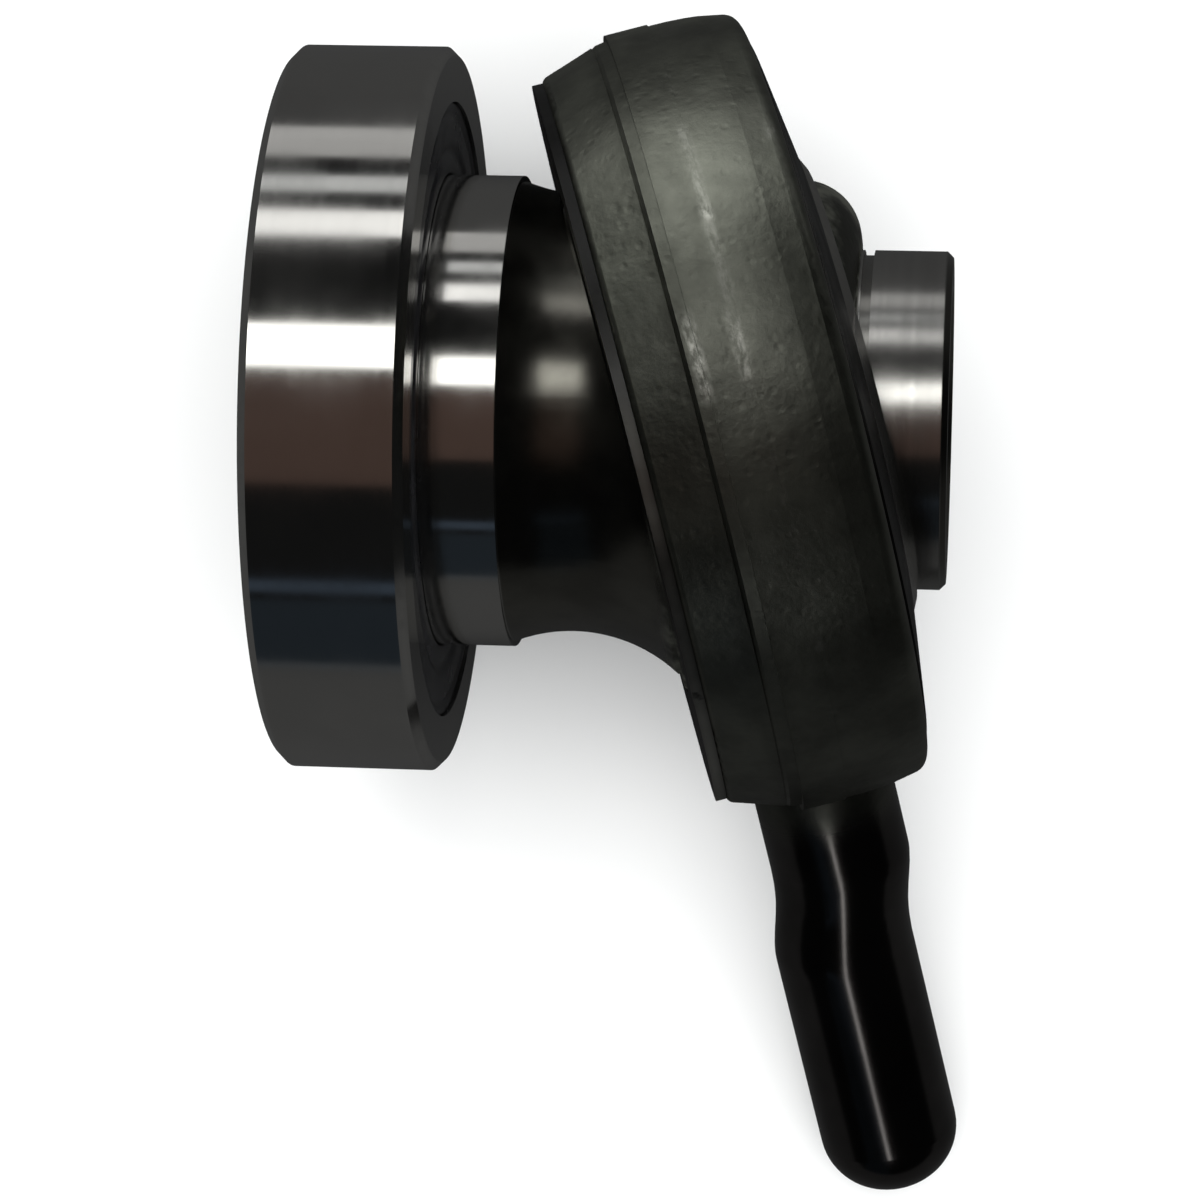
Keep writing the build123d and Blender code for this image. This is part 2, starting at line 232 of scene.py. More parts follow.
def group(name, inputs, outputs):
    """An empty node group. Inputs and outputs are (name, kind, default) rows."""
    tree = bpy.data.node_groups.new(name, "ShaderNodeTree")
    for rows, way in ((inputs, "INPUT"), (outputs, "OUTPUT")):
        for label, kind, default in rows:
            socket = tree.interface.new_socket(
                name=label, in_out=way, socket_type=f"NodeSocket{kind}"
            )
            if default is not None:
                socket.default_value = default
    return tree, put(tree, "NodeGroupInput").outputs, put(tree, "NodeGroupOutput").inputs


def use(tree, name, sockets):
    """Places a node group and returns its outputs."""
    node = put(tree, "ShaderNodeGroup", node_tree=bpy.data.node_groups[name])
    feed(tree, node.inputs, sockets)
    return node.outputs


def turned_place_group():
    """Where a point is on a turned piece: along the axis, away from it, and round it."""
    tree, given, out = group(
        "turned_place",
        [("Vector", "Vector", None)],
        [("Along", "Float", None), ("Radius", "Float", None), ("Turn", "Float", None)],
    )
    x, y, z = put(tree, "ShaderNodeSeparateXYZ", {0: given["Vector"]}).outputs
    squares = calc(tree, "ADD", times(tree, y, y), times(tree, z, z))
    tree.links.new(x, out["Along"])
    tree.links.new(calc(tree, "SQRT", squares), out["Radius"])
    tree.links.new(calc(tree, "ARCTAN2", y, z), out["Turn"])


def tool_marks_group():
    """Rings left by a lathe or wheel: noise that is fine along the axis and long round it."""
    tree, given, out = group(
        "tool_marks",
        [("Vector", "Vector", None), ("Pitch", "Float", 0.0001), ("Streak", "Float", 2.0)],
        [("Height", "Float", None), ("Streaks", "Float", None)],
    )
    place = use(tree, "turned_place", {"Vector": given["Vector"]})
    fine = put(
        tree,
        "ShaderNodeCombineXYZ",
        {
            0: calc(tree, "DIVIDE", place["Along"], given["Pitch"]),
            1: calc(tree, "DIVIDE", place["Radius"], given["Pitch"]),
            2: times(tree, calc(tree, "COSINE", place["Turn"]), given["Streak"]),
        },
    ).outputs[0]
    marks = grain(tree, fine, 1.0, 2.0)
    coarseness = 0.22
    coarse = put(tree, "ShaderNodeVectorMath", {0: fine, "Scale": coarseness}, operation="SCALE")
    tree.links.new(marks, out["Height"])
    tree.links.new(grain(tree, coarse.outputs[0], 1.0, 2.0), out["Streaks"])


def forged_skin_group():
    """Scale, pits and cloudy colour of a forging: three sizes of noise."""
    tree, given, out = group(
        "forged_skin",
        [("Vector", "Vector", None), ("Size", "Float", 0.0008)],
        [("Height", "Float", None), ("Clouds", "Float", None)],
    )
    step = in_steps_of(tree, given["Vector"], given["Size"])
    scale = grain(tree, step, 1.0, 4.0, 0.6)
    pits = put(tree, "ShaderNodeTexVoronoi", {"Vector": step, "Scale": 0.9}).outputs["Distance"]
    pitted = ramp(tree, pits, 0.05, 0.4)
    pit_share = 0.35
    tree.links.new(calc(tree, "MULTIPLY_ADD", pitted, pit_share, scale), out["Height"])
    tree.links.new(grain(tree, step, 7.0, 4.0, 0.6), out["Clouds"])


def rim_group():
    """Mask of a rubbed edge, also used for a painted highlight on a rim: near a circle about the axis,
    broken up by noise.
    """
    tree, given, out = group(
        "rim_wear_and_highlight",
        [
            ("Vector", "Vector", None),
            ("Edge Along", "Float", 0.0),
            ("Edge Radius", "Float", 0.0),
            ("Width", "Float", 0.0003),
            ("Bare", "Float", 0.5),
        ],
        [("Mask", "Float", None)],
    )
    place = use(tree, "turned_place", {"Vector": given["Vector"]})
    away_x = calc(tree, "SUBTRACT", place["Along"], given["Edge Along"])
    away_r = calc(tree, "SUBTRACT", place["Radius"], given["Edge Radius"])
    squares = calc(tree, "ADD", times(tree, away_x, away_x), times(tree, away_r, away_r))
    near = flip(tree, ramp(tree, calc(tree, "SQRT", squares), 0.0, given["Width"]))
    patches = grain(tree, given["Vector"], 1.3 * MM, 4.0, 0.65)
    keep = flip(tree, given["Bare"])
    soft = 0.12
    broken = ramp(tree, patches, calc(tree, "SUBTRACT", keep, soft), calc(tree, "ADD", keep, soft))
    tree.links.new(times(tree, near, broken), out["Mask"])


def handling_group():
    """Oil film and finger marks: soft noise from 0 to 1."""
    tree, given, out = group(
        "handling",
        [("Vector", "Vector", None), ("Size", "Float", 0.004)],
        [("Film", "Float", None)],
    )
    step = in_steps_of(tree, given["Vector"], given["Size"])
    tree.links.new(ramp(tree, grain(tree, step, 1.0, 5.0, 0.6), 0.3, 0.7), out["Film"])


def start(name, **constants):
    """A material with its shader, its own coordinates and the same turned to the slanted ring."""
    material = bpy.data.materials.new(name)
    material.use_nodes = True
    tree = material.node_tree
    tree.nodes.clear()
    shader = put(tree, "ShaderNodeBsdfPrincipled", constants)
    put(tree, "ShaderNodeOutputMaterial", {"Surface": shader.outputs[0]})
    here = put(tree, "ShaderNodeTexCoord").outputs["Object"]
    slanted = put(
        tree, "ShaderNodeMapping", {"Vector": here, "Rotation": (PHASE, 0.0, -LEAN)}
    ).outputs[0]
    return material, tree, shader.inputs, here, slanted


def finish_with(tree, shader, base, rough, height, depth):
    """Links colour, roughness and a bump of the given depth in metres to the shader."""
    bump = put(tree, "ShaderNodeBump", {"Height": height, "Distance": depth, "Strength": 1.0})
    feed(tree, shader, {"Normal": bump.outputs[0], "Base Color": base, "Roughness": rough})


def tint(rgb, factor):
    """A colour made lighter or darker."""
    return tuple(min(1.0, v * factor) for v in rgb)


def dress(material, *nodes):
    """Gives CAD nodes one material."""
    for node in nodes:
        slots = frame["nodes"][node].data.materials
        slots.clear()
        slots.append(material)


# ---- materials ---------------------------------------------------------------
def ground_bearing_steel():
    """Ground rings: faint marks round the axis, an oil film and bright chamfers."""
    steel = bpy.context.scene.steel_finish
    material, tree, shader, here, _ = start("ground_bearing_steel", Metallic=1.0)
    marks = use(tree, "tool_marks", {"Vector": here, "Pitch": steel.mark_pitch})
    film = use(tree, "handling", {"Vector": here, "Size": 5 * MM})["Film"]
    low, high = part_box("support_outer_ring")
    rim_r = radii("support_outer_ring")[1]
    inset = 0.2 * MM
    sockets = {"Vector": here, "Edge Radius": rim_r - inset, "Width": 0.6 * MM, "Bare": 0.6}
    left, right = (
        use(tree, "rim_wear_and_highlight", {**sockets, "Edge Along": edge})["Mask"]
        for edge in (low.x + inset, high.x - inset)
    )
    worn = calc(tree, "MAXIMUM", left, right)
    base = mix_colour(tree, film, tint(steel.ground, 0.94), steel.ground)
    base = mix_colour(tree, times(tree, worn, 0.6), base, tint(steel.ground, 1.25))
    rough = mix_value(tree, film, steel.ground_gloss * 0.8, steel.ground_gloss * 1.25)
    rough = calc(tree, "MULTIPLY_ADD", marks["Streaks"], 0.05, rough)
    finish_with(tree, shader, base, rough, marks["Height"], 0.35 * MICRON)
    return material


# where the hub's finish changes: along the shaft or the slanted race, and away from it
NECK_END = (-12.46 * MM, -12.3 * MM)
WAIST_END = (-3.6 * MM, -2.6 * MM)
BOSS_END = (7.15 * MM, 7.3 * MM)
RELIEF_RADIUS = (9.55 * MM, 9.68 * MM)
BORE_RADIUS = (8.9 * MM, 9.1 * MM)
COLLAR_CONE = (6.6 * MM, 6.75 * MM)
COLLAR_RADIUS = (12.7 * MM, 13.0 * MM)
END_CHAMFER = (0.45 * MM, 0.25 * MM)


def hub_steel():
    """Hub: ground neck, dark turned waist, mottled boss, ground slanted collar, lined journal."""
    steel = bpy.context.scene.steel_finish
    forged = bpy.context.scene.forged_finish
    material, tree, shader, here, slanted = start("hub_steel", Metallic=1.0)
    place = use(tree, "turned_place", {"Vector": here})
    on_race = use(tree, "turned_place", {"Vector": slanted})
    marks = use(tree, "tool_marks", {"Vector": here, "Pitch": steel.mark_pitch})
    skin = use(tree, "forged_skin", {"Vector": here, "Size": forged.scale})
    film = use(tree, "handling", {"Vector": here, "Size": 4 * MM})["Film"]
    along, radius = place["Along"], place["Radius"]
    past_neck = ramp(tree, along, *NECK_END)
    past_waist = ramp(tree, along, *WAIST_END)
    past_boss = ramp(tree, along, *BOSS_END)
    in_relief = flip(tree, ramp(tree, radius, *RELIEF_RADIUS))
    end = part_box("hub")[1].x
    dark_end = ramp(tree, along, *(end - inset for inset in END_CHAMFER))
    cone = ramp(tree, on_race["Along"], *COLLAR_CONE)
    off_body = ramp(tree, on_race["Radius"], *COLLAR_RADIUS)
    collar = times(tree, cone, off_body)
    inside = flip(tree, ramp(tree, radius, *BORE_RADIUS))
    waist = mix_colour(tree, film, tint(steel.turned, 0.75), tint(steel.turned, 1.15))
    base = mix_colour(tree, past_neck, steel.ground, waist)
    cloudy = ramp(tree, skin["Clouds"], 0.38, 0.6)
    boss = mix_colour(tree, cloudy, tint(forged.oxide, 0.6), tint(forged.oxide, 3.4))
    base = mix_colour(tree, past_waist, base, boss)
    journal = mix_colour(tree, marks["Streaks"], tint(steel.ground, 0.72), tint(steel.ground, 1.0))
    base = mix_colour(tree, past_boss, base, journal)
    base = mix_colour(tree, times(tree, in_relief, 0.5), base, tint(steel.turned, 0.8))
    base = mix_colour(tree, dark_end, base, tint(steel.turned, 0.7))
    base = mix_colour(tree, times(tree, collar, 0.8), base, tint(steel.ground, 0.8))
    base = mix_colour(tree, inside, base, tint(steel.turned, 1.2))
    rough = mix_value(tree, past_neck, steel.ground_gloss, steel.turned_gloss)
    rough = mix_value(tree, past_waist, rough, forged.oxide_gloss)
    rough = mix_value(tree, past_boss, rough, steel.journal_gloss)
    rough = calc(tree, "MULTIPLY_ADD", film, 0.06, rough)
    forging = times(tree, past_waist, flip(tree, past_boss))
    depth = mix_value(tree, past_boss, 0.35, 1.0)
    turned_height = times(tree, marks["Height"], depth)
    forged_height = times(tree, skin["Height"], 25.0)
    height = mix_value(tree, forging, turned_height, forged_height)
    finish_with(tree, shader, base, rough, height, 1.6 * MICRON)
    return material


# streaks rubbed along the flash band: mm along the ring's axis, first and last degree, strength
RUBBED_STREAKS = (
    (0.3, -18, -5, 0.65),
    (0.45, -7, 25, 0.42),
    (0.5, 5, 11, 1.0),
    (-2.0, -19, -4, 0.9),
    (5.0, 17, 22, 1.0),
)
# rubbed rims of the ring: mm along its axis, mm from it, mm across, share rubbed
RUBBED_RIMS = ((0.6, 23.0, 0.35, 0.36), (-5.95, 21.35, 0.4, 0.3), (5.4, 22.1, 0.5, 0.3))
STREAK_CORE = 0.1 * MM
STREAK_EDGE = 0.55 * MM
STREAK_FADE = math.radians(3.5)
# where the painted shade of the groove beside the flash band runs, along the ring's axis
GROOVE_ALONG = -2.5 * MM
# how far out from the ring's middle its skin gives way to the finger's
FINGER_START = (23.5 * MM, 27.0 * MM)


def rubbed_streaks(tree, vector):
    """Mask of the streaks where the oxide is rubbed off the flash band, broken up by noise."""
    place = use(tree, "turned_place", {"Vector": vector})
    total = None
    for along, first, last, strength in RUBBED_STREAKS:
        away = calc(tree, "ABSOLUTE", calc(tree, "SUBTRACT", place["Along"], along * MM))
        across = flip(tree, ramp(tree, away, STREAK_CORE, STREAK_EDGE))
        first, last = math.radians(first), math.radians(last)
        begun = ramp(tree, place["Turn"], first, first + STREAK_FADE)
        ended = ramp(tree, place["Turn"], last - STREAK_FADE, last)
        inside = times(tree, begun, flip(tree, ended))
        mask = times(tree, times(tree, across, inside), strength)
        total = mask if total is None else calc(tree, "MAXIMUM", total, mask)
    long_grain = put(tree, "ShaderNodeMapping", {"Vector": vector, "Scale": (2.6, 1.0, 1.0)})
    streaks = ramp(tree, grain(tree, long_grain.outputs[0], 0.9 * MM, 5.0, 0.7), 0.34, 0.66)
    return times(tree, total, streaks)


def groove_painted_shade(tree, vector):
    """Mask of the painted shade in the groove beside the flash band, soft on both sides and uneven along
    it.
    """
    place = use(tree, "turned_place", {"Vector": vector})
    away = calc(tree, "ABSOLUTE", calc(tree, "SUBTRACT", place["Along"], GROOVE_ALONG))
    near = flip(tree, ramp(tree, away, 0.2 * MM, 1.3 * MM))
    return times(tree, near, ramp(tree, grain(tree, vector, 4 * MM), 0.2, 0.75))


def forged_ring_steel():
    """Ring and finger: black oxide with scale, rubbed flash edges and a smooth dark finger."""
    forged = bpy.context.scene.forged_finish
    material, tree, shader, here, slanted = start("forged_ring_steel", Metallic=1.0)
    skin = use(tree, "forged_skin", {"Vector": slanted, "Size": forged.scale})
    marks = use(tree, "tool_marks", {"Vector": here, "Pitch": 0.16 * MM})
    film = use(tree, "handling", {"Vector": slanted, "Size": 6 * MM})["Film"]
    reach = put(
        tree, "ShaderNodeVectorMath", {0: slanted, 1: FINGER}, operation="DOT_PRODUCT"
    ).outputs["Value"]
    on_finger = ramp(tree, reach, *FINGER_START)
    cloudy = ramp(tree, skin["Clouds"], 0.3, 0.7)
    base = mix_colour(tree, cloudy, tint(forged.oxide, 0.75), tint(forged.oxide, 1.25))
    # painted shade: the groove beside the flash band is darkened well below the oxide around it
    groove_shade = groove_painted_shade(tree, slanted)
    base = mix_colour(tree, times(tree, groove_shade, 0.55), base, tint(forged.oxide, 0.4))
    worn = rubbed_streaks(tree, slanted)
    for along, radius, width, bare in RUBBED_RIMS:
        sockets = {"Vector": slanted, "Edge Along": along * MM, "Edge Radius": radius * MM}
        mask = use(tree, "rim_wear_and_highlight", {**sockets, "Width": width * MM, "Bare": bare})["Mask"]
        worn = calc(tree, "MAXIMUM", worn, times(tree, mask, 0.5))
    worn = times(tree, worn, flip(tree, on_finger))
    base = mix_colour(tree, times(tree, worn, 0.85), base, forged.worn)
    dark = mix_colour(tree, film, tint(forged.finger, 0.8), tint(forged.finger, 1.2))
    base = mix_colour(tree, on_finger, base, dark)
    rough = mix_value(tree, film, forged.oxide_gloss * 0.9, forged.oxide_gloss * 1.15)
    rough = mix_value(tree, worn, rough, 0.32)
    rough = mix_value(tree, on_finger, rough, forged.finger_gloss)
    height = mix_value(tree, on_finger, skin["Height"], times(tree, marks["Height"], 0.03))
    finish_with(tree, shader, base, rough, height, 28 * MICRON)
    return material


def pressed_sheet(name, level, gloss, rim=None, highlight_from=0.0):
    """Pressed sheet: rolled grain and an oil film.

    A rim, given as its place along the ring's axis and its radius, has a painted highlight on its low
    part.
    """
    forged = bpy.context.scene.forged_finish
    material, tree, shader, here, slanted = start(name, Metallic=1.0)
    vector = slanted if rim else here
    marks = use(tree, "tool_marks", {"Vector": vector, "Pitch": 0.2 * MM})
    film = use(tree, "handling", {"Vector": vector, "Size": 3 * MM})["Film"]
    plain = (level, level, level * 0.97)
    base = mix_colour(tree, film, tint(plain, 0.8), tint(plain, 1.15))
    if rim:
        sockets = {"Vector": vector, "Edge Along": rim[0], "Edge Radius": rim[1]}
        mask = use(tree, "rim_wear_and_highlight", {**sockets, "Width": 0.9 * MM, "Bare": 0.7})["Mask"]
        height_up = put(tree, "ShaderNodeSeparateXYZ", {0: slanted}).outputs["Y"]
        low_side = flip(tree, ramp(tree, height_up, highlight_from - 8 * MM, highlight_from))
        # painted highlight: the rim's lower part is made bright in the worn colour
        base = mix_colour(tree, times(tree, mask, low_side), base, forged.worn)
    rough = mix_value(tree, film, gloss * 0.85, gloss * 1.2)
    finish_with(tree, shader, base, rough, marks["Height"], 1.2 * MICRON)
    return material


def lapped_ball_steel():
    """Balls: mirror finish under a thin uneven film of oil."""
    steel = bpy.context.scene.steel_finish
    material, tree, shader, here, _ = start("lapped_ball_steel", Metallic=1.0)
    film = use(tree, "handling", {"Vector": here, "Size": 1.5 * MM})["Film"]
    base = mix_colour(tree, film, tint(steel.ground, 0.95), tint(steel.ground, 1.1))
    rough = mix_value(tree, film, 0.04, 0.09)
    finish_with(tree, shader, base, rough, film, 0.3 * MICRON)
    return material


def moulded_polyamide():
    """Snap cage: dark plastic with a fine moulded grain."""
    material, tree, shader, _, slanted = start("moulded_polyamide", Metallic=0.0)
    fine = grain(tree, slanted, 0.3 * MM)
    film = use(tree, "handling", {"Vector": slanted, "Size": 3 * MM})["Film"]
    base = mix_colour(tree, film, (0.055, 0.045, 0.035), (0.085, 0.07, 0.055))
    rough = mix_value(tree, film, 0.38, 0.5)
    finish_with(tree, shader, base, rough, fine, 20 * MICRON)
    return material


def seal_rubber():
    """Seal: glossy black nitrile with a faint moulded grain and a film of grease."""
    shape = bpy.context.scene.seal_shape
    material, tree, shader, here, _ = start("seal_rubber", Metallic=0.0)
    fine = grain(tree, here, 0.25 * MM)
    film = use(tree, "handling", {"Vector": here, "Size": 2.5 * MM})["Film"]
    base = mix_colour(tree, film, tint(shape.rubber, 0.8), tint(shape.rubber, 1.6))
    rough = mix_value(tree, film, shape.gloss * 0.8, shape.gloss * 1.4)
    finish_with(tree, shader, base, rough, fine, 6 * MICRON)
    return material


# ---- seals -------------------------------------------------------------------
GROOVE_WIDTH = 0.4 * MM
BEAD_GROOVE_WIDTH = 0.22 * MM
EDGE_ROUND = 0.12 * MM
INSERT_CLEARANCE = 0.01 * MM
FACE_POINTS = 61


def seal_section(side):
    """Closed outline of a seal as (along, radius) rows.

    The open face dips by a smooth groove, depth g exp(-((r - r0) / w)^2), and rises to a round
    bead at its rim and its lip; the inner face is flat, with a step that takes the steel insert.
    """
    shape = bpy.context.scene.seal_shape
    low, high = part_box(f"support_seal_{side}")
    insert_low, insert_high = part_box(f"seal_insert_{side}")
    lip, rim = radii(f"support_seal_{side}")
    insert_inner, insert_outer = radii(f"seal_insert_{side}")
    outwards = 1 if side == "right" else -1
    face = high.x if outwards > 0 else low.x
    back = low.x if outwards > 0 else high.x
    thick = abs(face - back)
    r = np.linspace(lip, rim, FACE_POINTS)
    groove_r = lip + 0.3 * (rim - lip)
    dip = shape.groove * np.exp(-(((r - groove_r) / GROOVE_WIDTH) ** 2))
    bead_r = rim - 1.4 * shape.bead
    dip += 0.6 * shape.groove * np.exp(-(((r - bead_r) / BEAD_GROOVE_WIDTH) ** 2))
    edge = np.minimum(r - lip, rim - r)
    gap = np.clip(1 - edge / EDGE_ROUND, 0, 1)
    dip += EDGE_ROUND * (1 - np.sqrt(1 - gap**2))
    floor = thick - abs(insert_high.x - insert_low.x) - INSERT_CLEARANCE
    outer, inner = insert_outer + INSERT_CLEARANCE, insert_inner - INSERT_CLEARANCE
    steps = np.array(
        [(thick, rim), (thick, outer), (floor, outer), (floor, inner), (thick, inner), (thick, lip)]
    )
    depth = np.concatenate([dip, steps[:, 0]])
    radius = np.concatenate([r, steps[:, 1]])
    return np.column_stack([face - outwards * depth, radius])


def revolved(name, section, turns=240):
    """Mesh swept round the shaft: the point at turn t is (x, r sin t, r cos t)."""
    count = len(section)
    turn = np.linspace(0, 2 * math.pi, turns, endpoint=False)[:, None]
    x = np.broadcast_to(section[:, 0], (turns, count))
    points = np.stack([x, section[:, 1] * np.sin(turn), section[:, 1] * np.cos(turn)], axis=-1)
    i = np.arange(turns)[:, None] * count
    j = np.arange(count)[None, :]
    ahead = (i + count) % (turns * count)
    beside = (j + 1) % count
    faces = np.stack([i + j, i + beside, ahead + beside, ahead + j], axis=-1).reshape(-1, 4)
    flat = points.reshape(-1, 3)
    a, b, c, d = (flat[faces[:, k]] for k in range(4))
    volume = (a * (np.cross(b, c) + np.cross(c, d))).sum()
    if volume < 0:
        faces = faces[:, ::-1]
    mesh = bpy.data.meshes.new(name)
    mesh.from_pydata(flat.tolist(), [], faces.tolist())
    mesh.polygons.foreach_set("use_smooth", np.ones(len(faces), bool))
    mesh.update()
    piece = bpy.data.objects.new(name, mesh)
    bpy.context.scene.collection.objects.link(piece)
    return piece


# ---- stage -------------------------------------------------------------------
# the camera stands CAMERA_DISTANCE from CAMERA_TARGET, above it along +Z but tipped about the Y
# axis, and rolled about its own line of sight
CAMERA_TARGET = Vector((-7.46, -10.84, 0.69)) * MM
CAMERA_DISTANCE = 253.06 * MM
CAMERA_TIP = math.radians(5.3)
CAMERA_ROLL = math.radians(1.53)
BACK = Vector((math.sin(CAMERA_TIP), 0.0, math.cos(CAMERA_TIP)))
LEVEL = Vector((math.cos(CAMERA_TIP), 0.0, -math.sin(CAMERA_TIP)))
RIGHT = LEVEL * math.cos(CAMERA_ROLL) + Vector((0.0, 1.0, 0.0)) * math.sin(CAMERA_ROLL)
UP = BACK.cross(RIGHT)
EYE = CAMERA_TARGET + BACK * CAMERA_DISTANCE
SHAFT = Vector((1.0, 0.0, 0.0))
FLOOR_HALF = 4.0
LAMP_DISTANCE = 0.6
LAMP_LENGTH = 0.3
LAMP_SHIFT = -0.13
# strips along the shaft: name, first and last direction from the eye's line towards +Y in
# degrees, brightness, and colour
STRIPS = (
    ("strip_top", 9.5, 22.5, 2.3, (1.0, 1.0, 0.98)),
    ("strip_high", 51.0, 60.0, 1.2, (1.0, 1.0, 1.0)),
    ("strip_mid", 67.0, 73.0, 0.62, (0.97, 0.99, 1.0)),
    ("strip_warm", -26.0, 8.0, 0.055, (1.0, 0.62, 0.5)),
    ("strip_line", -61.0, -57.0, 0.06, (0.5, 0.7, 1.0)),
    ("strip_cool", -99.0, -64.0, 0.016, (0.45, 0.7, 1.0)),
)
# lamps that light only the forging: one draws a bright line along the finger and one lifts the
# ring from above. Their directions are in the eye's own axes
FINGER_LAMP = Vector((0.02, -0.805, 0.59))
FILL_LAMP = Vector((-0.3, 0.85, 0.42))
WHITE = (1.0, 1.0, 1.0)


def lowest_along(direction):
    """How far down the whole model reaches, measured along a direction."""
    return min(float((corners(node) @ np.array(direction)).min()) for node in frame["nodes"])


def stage_floor(level):
    """Large plane square to the eye's line, under the lowest rim, dim in mirror reflections."""
    across = (SHAFT - BACK * SHAFT.dot(BACK)).normalized()
    along = BACK.cross(across)
    middle = BACK * level
    signs = ((-1, -1), (1, -1), (1, 1), (-1, 1))
    points = [middle + (across * a + along * b) * FLOOR_HALF for a, b in signs]
    mesh = bpy.data.meshes.new("floor")
    mesh.from_pydata([tuple(point) for point in points], [], [(0, 1, 2, 3)])
    mesh.update()
    floor = bpy.data.objects.new("floor", mesh)
    bpy.context.scene.collection.objects.link(floor)
    material = bpy.data.materials.new("pale_floor")
    material.use_nodes = True
    tree = material.node_tree
    tree.nodes.clear()
    pale = put(tree, "ShaderNodeBsdfDiffuse", {"Color": (*bpy.context.scene.stage_settings.floor, 1)})
    dim = put(tree, "ShaderNodeBsdfDiffuse", {"Color": (0.04, 0.04, 0.04, 1)})
    seen_in_gloss = put(tree, "ShaderNodeLightPath").outputs["Is Glossy Ray"]
    sockets = {0: seen_in_gloss, 1: pale.outputs[0], 2: dim.outputs[0]}
    mixed = put(tree, "ShaderNodeMixShader", sockets)
    put(tree, "ShaderNodeOutputMaterial", {"Surface": mixed.outputs[0]})
    mesh.materials.append(material)
    return floor


def lamp(name, place, facing, size_x, size_y, brightness, tone):
    """Area lamp at a place, its long side along the shaft, shining against facing."""
    data = bpy.data.lights.new(name, "AREA")
    data.shape = "RECTANGLE"
    data.size = size_x
    data.size_y = size_y
    data.color = tone
    data.energy = brightness * math.pi * size_x * size_y
    made = bpy.data.objects.new(name, data)
    bpy.context.scene.collection.objects.link(made)
    z = facing.normalized()
    x = (SHAFT - z * SHAFT.dot(z)).normalized()
    y = z.cross(x)
    made.matrix_world = Matrix.Translation(place) @ Matrix((x, y, z)).transposed().to_4x4()
    made.visible_camera = False
    return made


def stage_lamps(level):
    """Strips, a line and a fill for the forging alone, a low card for the horizon, a soft lamp."""
    settings = bpy.context.scene.stage_settings
    for name, first, last, brightness, tone in STRIPS:
        middle = math.radians((first + last) / 2)
        width = 2 * LAMP_DISTANCE * math.tan(math.radians(last - first) / 2)
        facing = BACK * math.cos(middle) + UP * math.sin(middle)
        place = facing * LAMP_DISTANCE + SHAFT * LAMP_SHIFT
        lamp(name, place, facing, LAMP_LENGTH, width, brightness * settings.key, tone)
    lit = bpy.data.collections.new("lit_forging")
    lit.objects.link(frame["nodes"]["wobble_ring"])
    for name, way, size_x, size_y, brightness, tone in (
        ("finger_line", FINGER_LAMP, 0.04, 0.22, 2.0, WHITE),
        ("fill_high", FILL_LAMP, 0.42, 0.42, 1.0, (0.98, 1, 0.96)),
    ):
        facing = (RIGHT * way.x + UP * way.y + BACK * way.z).normalized()
        place = facing * LAMP_DISTANCE
        made = lamp(name, place, facing, size_x, size_y, brightness * settings.key, tone)
        made.visible_diffuse = False
        made.light_linking.receiver_collection = lit
    place = UP * 0.16 + BACK * (level + 0.042)
    low = lamp("card_low", place, UP, 0.5, 0.036, 0.42 * settings.key, WHITE)
    low.visible_diffuse = False
    soft = lamp("soft_overhead", BACK * 1.2, BACK, 1.6, 1.6, settings.soft / 6, WHITE)
    soft.visible_glossy = False


def stage_world():
    """Pale surroundings, dark where they show in a polished surface."""
    world = bpy.data.worlds.new("studio")
    bpy.context.scene.world = world
    world.use_nodes = True
    tree = world.node_tree
    tree.nodes.clear()
    seen_in_gloss = put(tree, "ShaderNodeLightPath").outputs["Is Glossy Ray"]
    level = mix_value(tree, seen_in_gloss, 0.8, 0.008)
    sky = put(tree, "ShaderNodeBackground", {"Color": (0.96, 0.98, 1.0, 1), "Strength": level})
    put(tree, "ShaderNodeOutputWorld", {"Surface": sky.outputs[0]})


def stage_camera():
    """Camera close above the unit, looking down its line of sight."""
    data = bpy.data.cameras.new("camera")
    data.lens = bpy.context.scene.stage_settings.focal
    data.sensor_width = 36.0
    data.clip_start = 0.01
    camera = bpy.data.objects.new("camera", data)
    bpy.context.scene.collection.objects.link(camera)
    turn = Matrix((RIGHT, UP, BACK)).transposed().to_4x4()
    camera.matrix_world = Matrix.Translation(EYE) @ turn
    bpy.context.scene.camera = camera


# ---- operators ---------------------------------------------------------------
class WOBBLE_OT_groups(bpy.types.Operator):
    """Build the shared effects: tool marks, forged skin, rubbed rims and handling film"""

    bl_idname = "wobble.groups"
    bl_label = "Shared effects"

    def execute(self, context):
        turned_place_group()
        tool_marks_group()
        forged_skin_group()
        rim_group()
        handling_group()
        return {"FINISHED"}


class WOBBLE_OT_support_bearing(bpy.types.Operator):
    """Finish the support bearing's ring, balls, cage and rivets"""

    bl_idname = "wobble.support_bearing"
    bl_label = "Support bearing"

    def execute(self, context):
        dress(ground_bearing_steel(), "support_outer_ring")
        dress(lapped_ball_steel(), *SUPPORT_BALLS, *WOBBLE_BALLS)
        cage = pressed_sheet("pressed_cage_sheet", 0.5, 0.3)
        dress(cage, "support_cage_left", "support_cage_right", "support_cage_rivets")
        dress(pressed_sheet("insert_sheet", 0.42, 0.35), "seal_insert_left", "seal_insert_right")
        return {"FINISHED"}


class WOBBLE_OT_seals(bpy.types.Operator):
    """Mould the two rubber seals, with a groove, a bead and a lip"""

    bl_idname = "wobble.seals"
    bl_label = "Seals"

    def execute(self, context):
        rubber = seal_rubber()
        for side in SIDES:
            seal = revolved(f"moulded_seal_{side}", seal_section(side))
            seal.data.materials.append(rubber)
            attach(seal, "support_ring")
            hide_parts(f"support_seal_{side}")
        return {"FINISHED"}


class WOBBLE_OT_hub(bpy.types.Operator):
    """Finish the hub's neck, waist, boss, collar and journal"""

    bl_idname = "wobble.hub"
    bl_label = "Hub"

    def execute(self, context):
        dress(hub_steel(), "hub")
        return {"FINISHED"}


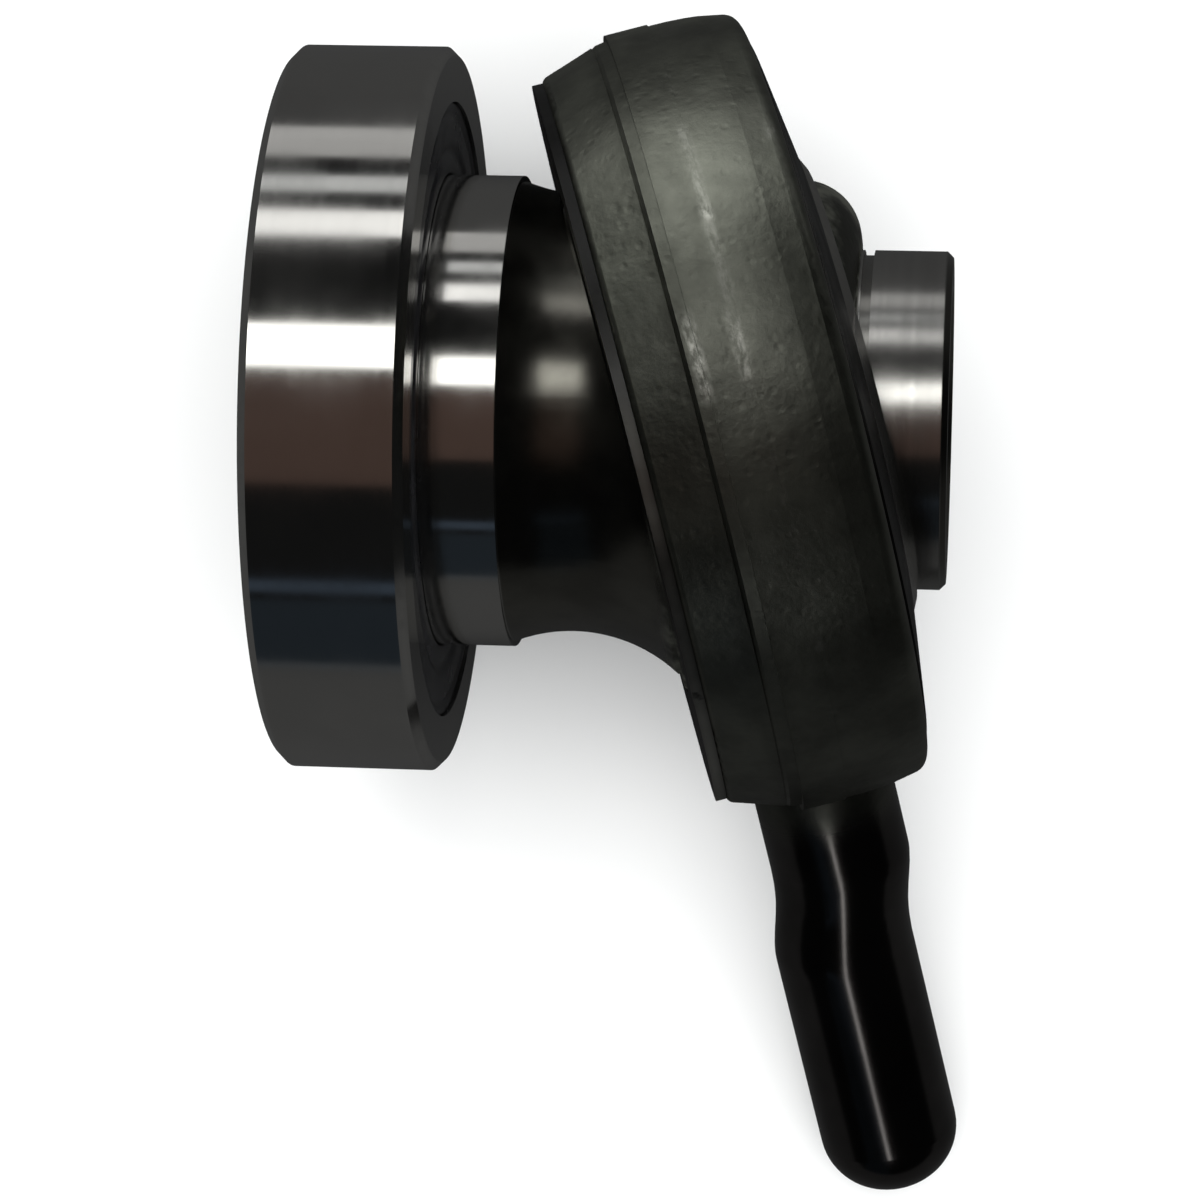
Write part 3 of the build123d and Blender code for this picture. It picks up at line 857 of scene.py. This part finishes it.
class WOBBLE_OT_ring(bpy.types.Operator):
    """Finish the forged ring, its finger, shields and cage"""

    bl_idname = "wobble.ring"
    bl_label = "Forged ring"

    def execute(self, context):
        dress(forged_ring_steel(), "wobble_ring")
        # the left shield's rim gets a painted highlight on its lower part
        rim = (-6.4 * MM, 21.3 * MM)
        dress(pressed_sheet("left_shield_sheet", 0.07, 0.42, rim, -4 * MM), "left_shield")
        dress(pressed_sheet("right_shield_sheet", 0.07, 0.46), "right_shield")
        dress(moulded_polyamide(), "wobble_cage")
        return {"FINISHED"}


class WOBBLE_OT_stage(bpy.types.Operator):
    """Set up the floor, lights and camera"""

    bl_idname = "wobble.stage"
    bl_label = "Stage"

    def execute(self, context):
        level = lowest_along(BACK)
        stage_floor(level)
        stage_lamps(level)
        stage_world()
        stage_camera()
        context.scene.view_settings.view_transform = "Standard"
        return {"FINISHED"}


class WOBBLE_PT_panel(bpy.types.Panel):
    """Lists the pieces and their settings"""

    bl_idname = "WOBBLE_PT_panel"
    bl_label = "Wobble drive"
    bl_space_type = "VIEW_3D"
    bl_region_type = "UI"
    bl_category = "Wobble drive"

    def draw(self, context):
        for operator in OPERATORS:
            self.layout.operator(operator.bl_idname)
        for name in SETTINGS:
            group_box = self.layout.box()
            for key in getattr(context.scene, name).__annotations__:
                group_box.prop(getattr(context.scene, name), key)


SETTINGS = {
    "steel_finish": SteelFinish,
    "forged_finish": ForgedFinish,
    "seal_shape": SealShape,
    "stage_settings": StageSettings,
}
OPERATORS = (
    WOBBLE_OT_groups,
    WOBBLE_OT_support_bearing,
    WOBBLE_OT_seals,
    WOBBLE_OT_hub,
    WOBBLE_OT_ring,
    WOBBLE_OT_stage,
)


def register():
    """Registers the settings, operators and panel."""
    for name, kind in SETTINGS.items():
        bpy.utils.register_class(kind)
        setattr(bpy.types.Scene, name, PointerProperty(type=kind))
    for kind in (*OPERATORS, WOBBLE_PT_panel):
        bpy.utils.register_class(kind)


def unregister():
    """Removes what register added."""
    for kind in reversed((*OPERATORS, WOBBLE_PT_panel)):
        bpy.utils.unregister_class(kind)
    for name, kind in SETTINGS.items():
        delattr(bpy.types.Scene, name)
        bpy.utils.unregister_class(kind)


def main():
    """Builds everything in order."""
    register()
    bpy.ops.wobble.groups()
    bpy.ops.wobble.support_bearing()
    bpy.ops.wobble.seals()
    bpy.ops.wobble.hub()
    bpy.ops.wobble.ring()
    bpy.ops.wobble.stage()


if __name__ == "__main__":
    main()
